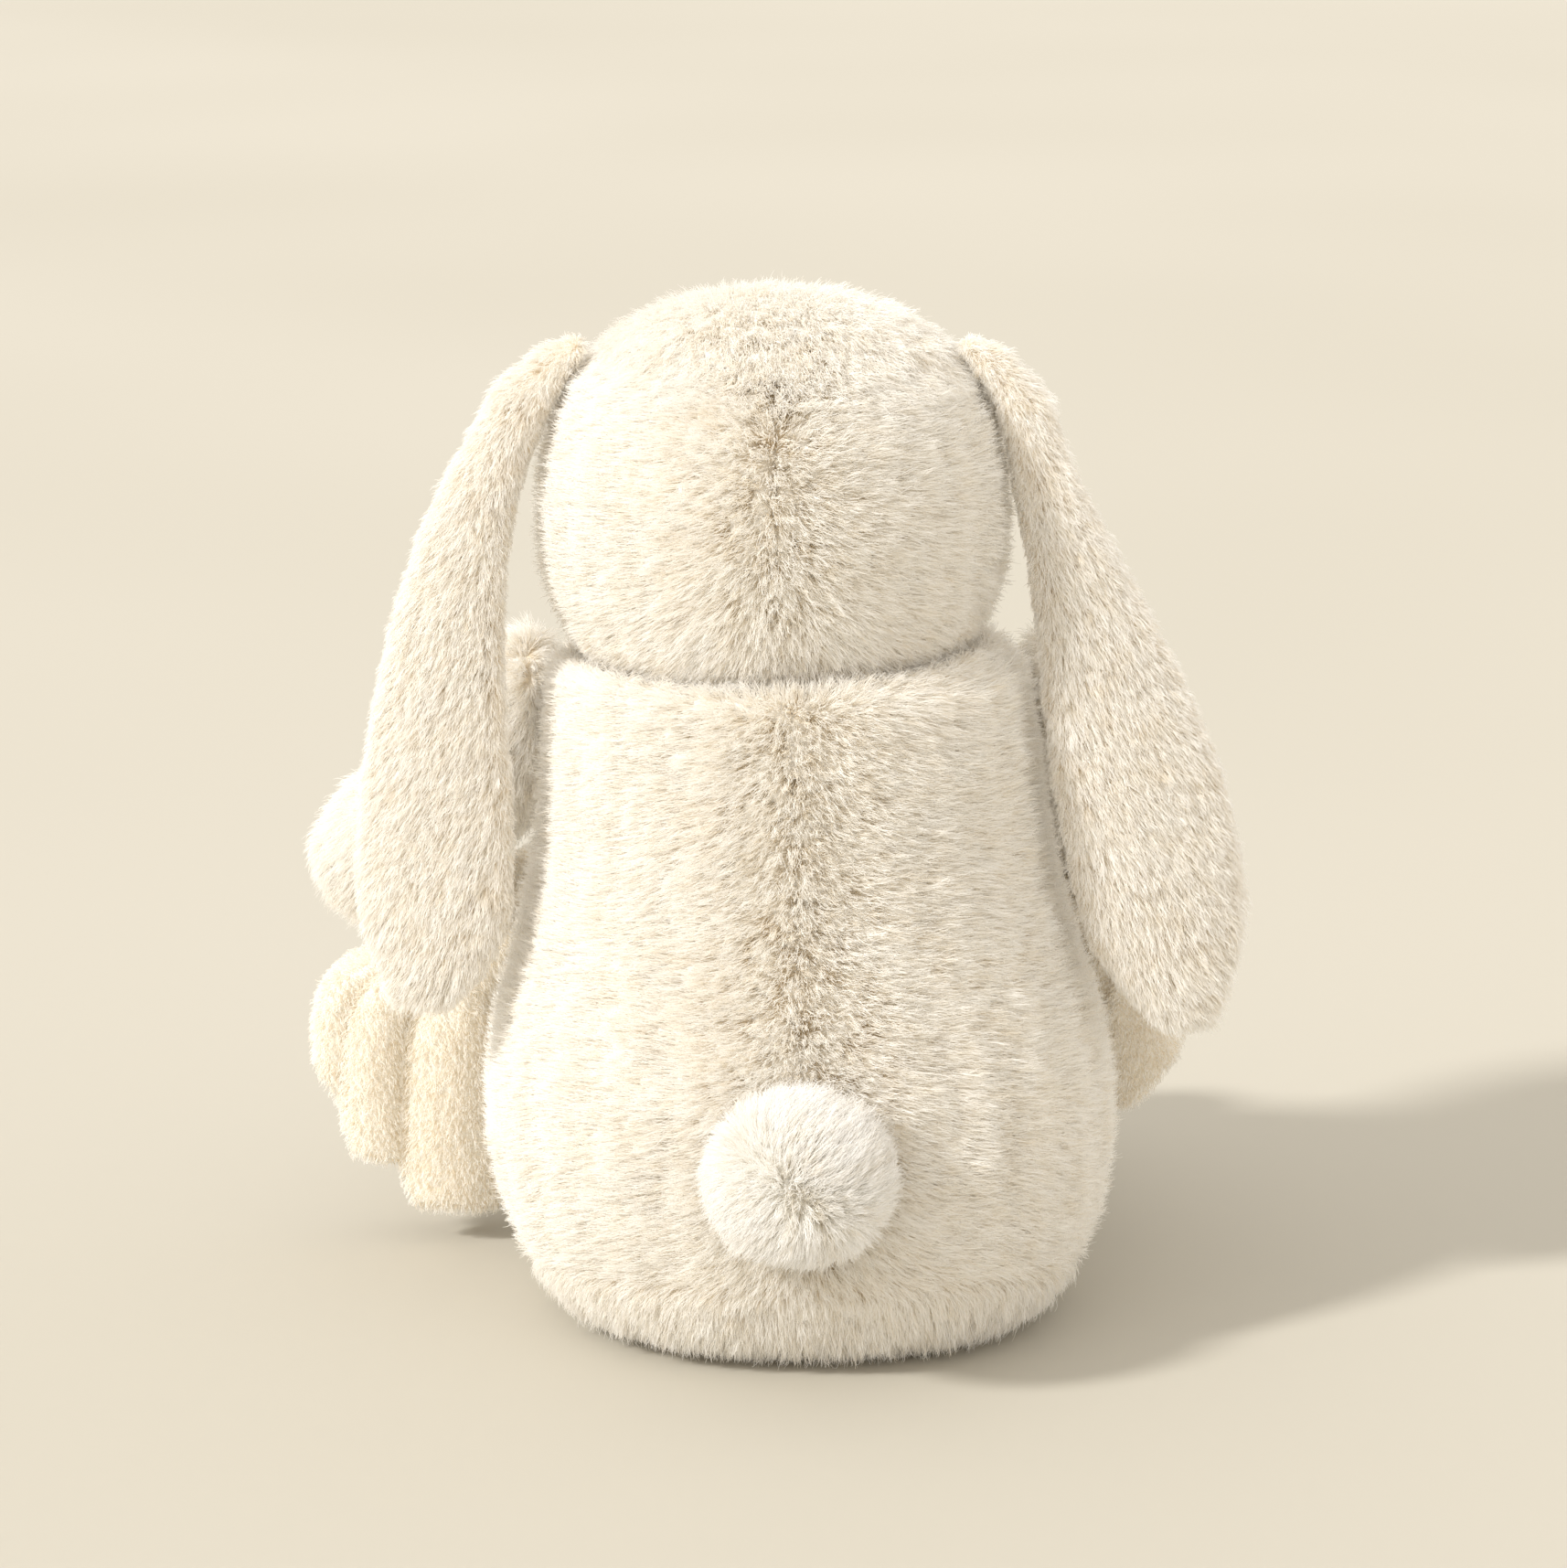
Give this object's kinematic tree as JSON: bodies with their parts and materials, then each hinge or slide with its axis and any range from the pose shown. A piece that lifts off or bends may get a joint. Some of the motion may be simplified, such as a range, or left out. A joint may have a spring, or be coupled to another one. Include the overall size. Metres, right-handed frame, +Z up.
{
  "type": "plush rabbit",
  "caption": "Sitting plush rabbit with long lop ears, a round tail and a blanket held under its arms; its head, ears, limbs and tail move.",
  "frame": {"origin": "on the floor, under the middle of the torso, at the centre of the flat seat", "axes": "+Z up; the rabbit looks along -Y; its left side is on +X"},
  "size_m": [0.2934, 0.287, 0.3185],
  "materials": {
    "cream_fur": "long soft pile",
    "white_fur": "fluffy pile",
    "ear_lining": "short velour",
    "foot_pad": "short velour",
    "blanket": "short fleece pile",
    "filling": "fibre filling",
    "pellet_cloth": "plain woven cloth",
    "nose_thread": "satin-stitch embroidery",
    "mouth_thread": "embroidery thread",
    "eye_plastic": "glossy",
    "washer_plastic": "moulded"
  },
  "bodies": {
    "torso": {"torso_back_left": "cream_fur", "torso_back_right": "cream_fur", "torso_belly": "cream_fur", "seat_panel": "cream_fur", "torso_filling": "filling", "pellet_bag": "pellet_cloth"},
    "neck": {"neck_filling": "filling"},
    "head": {"head_back_left": "cream_fur", "head_back_right": "cream_fur", "head_cheek_left": "cream_fur", "head_cheek_right": "cream_fur", "head_face": "cream_fur", "head_crown": "cream_fur", "head_filling": "filling", "muzzle": "white_fur", "nose": "nose_thread", "mouth_stitch": "mouth_thread", "eye_left": "eye_plastic", "eye_right": "eye_plastic", "eye_washer_left": "washer_plastic", "eye_washer_right": "washer_plastic"},
    "ear_left": {"ear_left_fur": "cream_fur", "ear_left_lining": "ear_lining"},
    "ear_right": {"ear_right_fur": "cream_fur", "ear_right_lining": "ear_lining"},
    "arm_left": {"arm_left_front": "cream_fur", "arm_left_back": "cream_fur", "arm_left_filling": "filling"},
    "arm_right": {"arm_right_front": "cream_fur", "arm_right_back": "cream_fur", "arm_right_filling": "filling"},
    "leg_left": {"leg_left_top": "cream_fur", "leg_left_under": "cream_fur", "leg_left_filling": "filling", "foot_pad_left": "foot_pad"},
    "leg_right": {"leg_right_top": "cream_fur", "leg_right_under": "cream_fur", "leg_right_filling": "filling", "foot_pad_right": "foot_pad"},
    "tail": {"tail_fur": "white_fur", "tail_filling": "filling"},
    "blanket": {"blanket_middle": "blanket", "blanket_left_end": "blanket", "blanket_right_end": "blanket"}
  },
  "joints": [
    {"name": "head_turn", "type": "hinge", "parent": "torso", "child": "neck", "pos_m": [0.0055, 0, 0.25], "axis": [0, 0, 1], "range_deg": [-12, 12], "stiffness_Nm_per_rad": 0.3},
    {"name": "head_nod", "type": "hinge", "parent": "neck", "child": "head", "pos_m": [0.0055, 0, 0.25], "axis": [1, 0, 0], "range_deg": [0, 12], "stiffness_Nm_per_rad": 0.6},
    {"name": "ear_left_lift", "type": "hinge", "parent": "head", "child": "ear_left", "pos_m": [0.059, 0.002, 0.3], "axis": [0, -1, 0], "range_deg": [0, 80]},
    {"name": "ear_right_lift", "type": "hinge", "parent": "head", "child": "ear_right", "pos_m": [-0.047, 0.002, 0.3], "axis": [0, 1, 0], "range_deg": [0, 80]},
    {"name": "arm_left_raise", "type": "hinge", "parent": "torso", "child": "arm_left", "pos_m": [0.08, -0.03, 0.183], "axis": [-1, 0, 0], "range_deg": [0, 75], "stiffness_Nm_per_rad": 0.1},
    {"name": "arm_right_raise", "type": "hinge", "parent": "torso", "child": "arm_right", "pos_m": [-0.078, -0.03, 0.183], "axis": [-1, 0, 0], "range_deg": [0, 75], "stiffness_Nm_per_rad": 0.1},
    {"name": "leg_left_lift", "type": "hinge", "parent": "torso", "child": "leg_left", "pos_m": [0.045, -0.05, 0.036], "axis": [-1, 0, 0], "range_deg": [0, 12]},
    {"name": "leg_right_lift", "type": "hinge", "parent": "torso", "child": "leg_right", "pos_m": [-0.045, -0.05, 0.036], "axis": [-1, 0, 0], "range_deg": [0, 12]},
    {"name": "tail_wag", "type": "hinge", "parent": "torso", "child": "tail", "pos_m": [-0.002, 0.084, 0.071], "axis": [0, 0, 1], "range_deg": [-15, 15], "stiffness_Nm_per_rad": 0.05},
    {"name": "blanket_pull", "type": "slide", "parent": "torso", "child": "blanket", "axis": [0, -1, 0], "range_m": [0, 0.1]}
  ]
}
